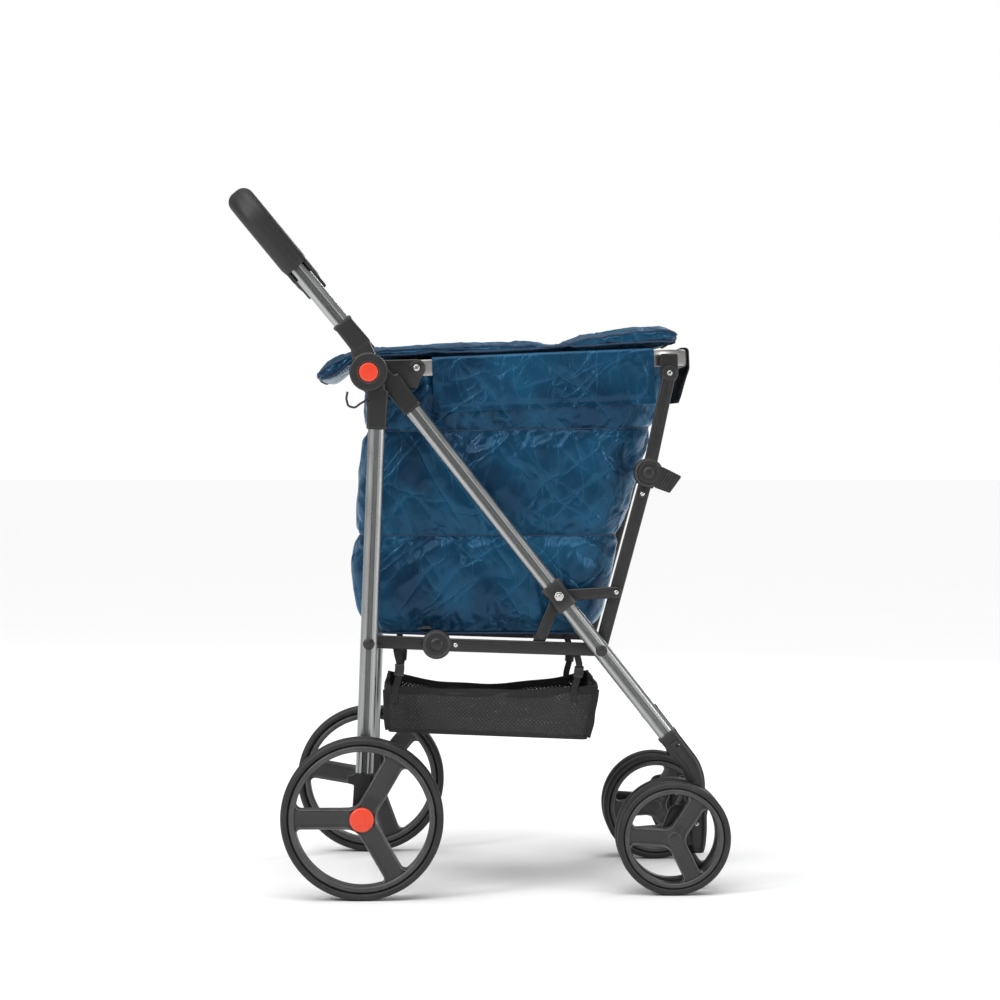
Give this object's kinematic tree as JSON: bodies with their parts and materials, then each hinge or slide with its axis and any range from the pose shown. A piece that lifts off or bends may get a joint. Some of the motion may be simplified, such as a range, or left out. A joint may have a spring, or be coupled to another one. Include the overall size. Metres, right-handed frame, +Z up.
{
  "type": "folding shopping trolley",
  "caption": "Folding shopping trolley: oval-tube A-frame, tilting U handle, padded lidded bag, mesh basket, two large rear wheels and twin-wheel swivel casters.",
  "frame": {"origin": "bottom centre of the bounding box, on the floor", "axes": "+X towards the swivel casters, +Z up, +Y to the left of the direction of travel"},
  "size_m": [0.6832, 0.512, 0.962],
  "materials": {
    "aluminium_tube": "ribbed oval extrusion, satin anodised",
    "black_plastic": "moulded black nylon, fine grain",
    "black_metal": "black powder coat",
    "steel_pin": "zinc-plated",
    "grey_plastic": "moulded dark grey plastic",
    "tyre_rubber": "black EVA tyre",
    "red_plastic": "red moulded plastic",
    "soft_grip": "black foam-rubber grip",
    "blue_nylon": "shiny blue coated nylon, padded",
    "black_cloth": "black woven polyester",
    "black_mesh": "black knitted mesh",
    "board": "fluted plastic board"
  },
  "bodies": {
    "rear_frame": {"rear_leg_left": "aluminium_tube", "rear_leg_right": "aluminium_tube", "rear_socket_left": "black_plastic", "rear_socket_right": "black_plastic", "rear_feet": "black_plastic", "rear_axle": "steel_pin", "rear_cross_tube": "black_metal", "frame_pins": "steel_pin", "ring_brackets": "black_plastic", "shopping_bag": "blue_nylon", "base_board": "board", "mesh_basket": "black_mesh", "basket_straps": "black_cloth", "bag_hook": "black_metal"},
    "front_frame": {"front_leg_left": "aluminium_tube", "front_leg_right": "aluminium_tube", "front_socket_left": "black_plastic", "front_socket_right": "black_plastic", "caster_socket_left": "black_plastic", "caster_socket_right": "black_plastic", "front_cross_tube": "black_metal", "leg_pins": "steel_pin"},
    "rear_rails": {"rear_rails": "black_metal"},
    "front_rails": {"front_rails": "black_metal"},
    "lower_links": {"lower_links": "black_metal", "link_pins": "steel_pin"},
    "upper_links": {"upper_links": "black_metal"},
    "fold_levers": {"fold_levers": "black_plastic"},
    "sleeves": {"sliding_sleeves": "black_plastic"},
    "upper_stays": {"upper_stays": "black_metal"},
    "lower_stays": {"lower_stays": "black_metal"},
    "ring": {"top_ring": "aluminium_tube", "ring_lugs": "black_plastic", "side_flaps": "blue_nylon", "front_flap": "black_cloth"},
    "lid": {"lid": "blue_nylon"},
    "handle": {"handle_tube": "aluminium_tube", "handle_grip": "soft_grip", "handle_socket_left": "black_plastic", "handle_socket_right": "black_plastic"},
    "button_left": {"hub_button_left": "red_plastic"},
    "caster_left": {"caster_fork_left": "black_plastic", "caster_axle_left": "steel_pin"},
    "front_wheel_left_outer": {"front_rim_left_outer": "grey_plastic", "front_tyre_left_outer": "tyre_rubber"},
    "front_wheel_left_inner": {"front_rim_left_inner": "grey_plastic", "front_tyre_left_inner": "tyre_rubber"},
    "rear_wheel_left": {"rear_rim_left": "grey_plastic", "rear_tyre_left": "tyre_rubber", "wheel_cap_left": "red_plastic"},
    "button_right": {"hub_button_right": "red_plastic"},
    "caster_right": {"caster_fork_right": "black_plastic", "caster_axle_right": "steel_pin"},
    "front_wheel_right_outer": {"front_rim_right_outer": "grey_plastic", "front_tyre_right_outer": "tyre_rubber"},
    "front_wheel_right_inner": {"front_rim_right_inner": "grey_plastic", "front_tyre_right_inner": "tyre_rubber"},
    "rear_wheel_right": {"rear_rim_right": "grey_plastic", "rear_tyre_right": "tyre_rubber", "wheel_cap_right": "red_plastic"}
  },
  "joints": [
    {"name": "fold", "type": "hinge", "parent": "rear_frame", "child": "front_frame", "pos_m": [-0.1482, 0, 0.7105], "axis": [0, 1, 0], "range_deg": [0, 30], "deforming": ["shopping_bag", "mesh_basket", "basket_straps", "side_flaps", "front_flap", "lid"]},
    {"name": "rear_rail_fold", "type": "hinge", "parent": "rear_frame", "child": "rear_rails", "pos_m": [-0.14868, 0, 0.34277], "axis": [0, 1, 0], "range_deg": [-90.9, 0]},
    {"name": "front_rail_fold", "type": "hinge", "parent": "front_frame", "child": "front_rails", "pos_m": [0.16818, 0, 0.33155], "axis": [0, 1, 0], "range_deg": [0, 37.4]},
    {"name": "lower_link_fold", "type": "hinge", "parent": "front_frame", "child": "lower_links", "pos_m": [0.16818, 0, 0.33155], "axis": [0, 1, 0], "range_deg": [-38.8, 0]},
    {"name": "upper_link_fold", "type": "hinge", "parent": "lower_links", "child": "upper_links", "pos_m": [0.2335, 0, 0.5741], "axis": [0, 1, 0], "range_deg": [0, 109]},
    {"name": "ring_fold", "type": "hinge", "parent": "rear_frame", "child": "ring", "pos_m": [-0.0843, 0, 0.7177], "axis": [0, 1, 0], "range_deg": [0, 58.2]},
    {"name": "sleeve_slide", "type": "slide", "parent": "front_frame", "child": "sleeves", "axis": [-0.6157, 0, 0.788], "range_m": [0, 0.0641]},
    {"name": "upper_stay_fold", "type": "hinge", "parent": "sleeves", "child": "upper_stays", "pos_m": [0.11006, 0, 0.40593], "axis": [0, 1, 0], "range_deg": [0, 42.5]},
    {"name": "lower_stay_fold", "type": "hinge", "parent": "sleeves", "child": "lower_stays", "pos_m": [0.11006, 0, 0.40593], "axis": [0, 1, 0], "range_deg": [-46.2, 0]},
    {"name": "fold_lever", "type": "hinge", "parent": "lower_links", "child": "fold_levers", "pos_m": [0.2335, 0, 0.5741], "axis": [0, 1, 0], "range_deg": [0, 18], "stiffness_Nm_per_rad": 0.4},
    {"name": "handle_tilt", "type": "hinge", "parent": "rear_frame", "child": "handle", "pos_m": [-0.1482, 0, 0.7105], "axis": [0, 1, 0], "range_deg": [-125, 30]},
    {"name": "lid_open", "type": "hinge", "parent": "ring", "child": "lid", "pos_m": [0.2768, 0, 0.7488], "axis": [0, 1, 0], "range_deg": [0, 105]},
    {"name": "button_left_press", "type": "slide", "parent": "handle", "child": "button_left", "axis": [0, -1, 0], "range_m": [0, 0.004], "stiffness_N_per_m": 300},
    {"name": "caster_left_swivel", "type": "hinge", "parent": "front_frame", "child": "caster_left", "pos_m": [0.2983, 0.174, 0.1], "axis": [0, 0, 1], "continuous": true},
    {"name": "front_wheel_left_outer_spin", "type": "hinge", "parent": "caster_left", "child": "front_wheel_left_outer", "pos_m": [0.266, 0.174, 0.0775], "axis": [0, 1, 0], "continuous": true},
    {"name": "front_wheel_left_inner_spin", "type": "hinge", "parent": "caster_left", "child": "front_wheel_left_inner", "pos_m": [0.266, 0.174, 0.0775], "axis": [0, 1, 0], "continuous": true},
    {"name": "rear_wheel_left_spin", "type": "hinge", "parent": "rear_frame", "child": "rear_wheel_left", "pos_m": [-0.15721, 0, 0.11], "axis": [0, 1, 0], "continuous": true},
    {"name": "button_right_press", "type": "slide", "parent": "handle", "child": "button_right", "axis": [0, 1, 0], "range_m": [0, 0.004], "stiffness_N_per_m": 300},
    {"name": "caster_right_swivel", "type": "hinge", "parent": "front_frame", "child": "caster_right", "pos_m": [0.2983, -0.174, 0.1], "axis": [0, 0, 1], "continuous": true},
    {"name": "front_wheel_right_outer_spin", "type": "hinge", "parent": "caster_right", "child": "front_wheel_right_outer", "pos_m": [0.266, -0.174, 0.0775], "axis": [0, 1, 0], "continuous": true},
    {"name": "front_wheel_right_inner_spin", "type": "hinge", "parent": "caster_right", "child": "front_wheel_right_inner", "pos_m": [0.266, -0.174, 0.0775], "axis": [0, 1, 0], "continuous": true},
    {"name": "rear_wheel_right_spin", "type": "hinge", "parent": "rear_frame", "child": "rear_wheel_right", "pos_m": [-0.15721, 0, 0.11], "axis": [0, 1, 0], "continuous": true}
  ],
  "couplings": [
    {"joint": "rear_rail_fold", "follows": "fold", "ratio": -3.0133},
    {"joint": "front_rail_fold", "follows": "fold", "ratio": 1.23},
    {"joint": "lower_link_fold", "follows": "fold", "ratio": -1.2767},
    {"joint": "upper_link_fold", "follows": "fold", "ratio": 3.6167},
    {"joint": "ring_fold", "follows": "fold", "ratio": 1.9233},
    {"joint": "upper_stay_fold", "follows": "fold", "ratio": 1.4},
    {"joint": "lower_stay_fold", "follows": "fold", "ratio": -1.5233},
    {"joint": "sleeve_slide", "follows": "fold", "m_per_rad": 0.12147}
  ]
}
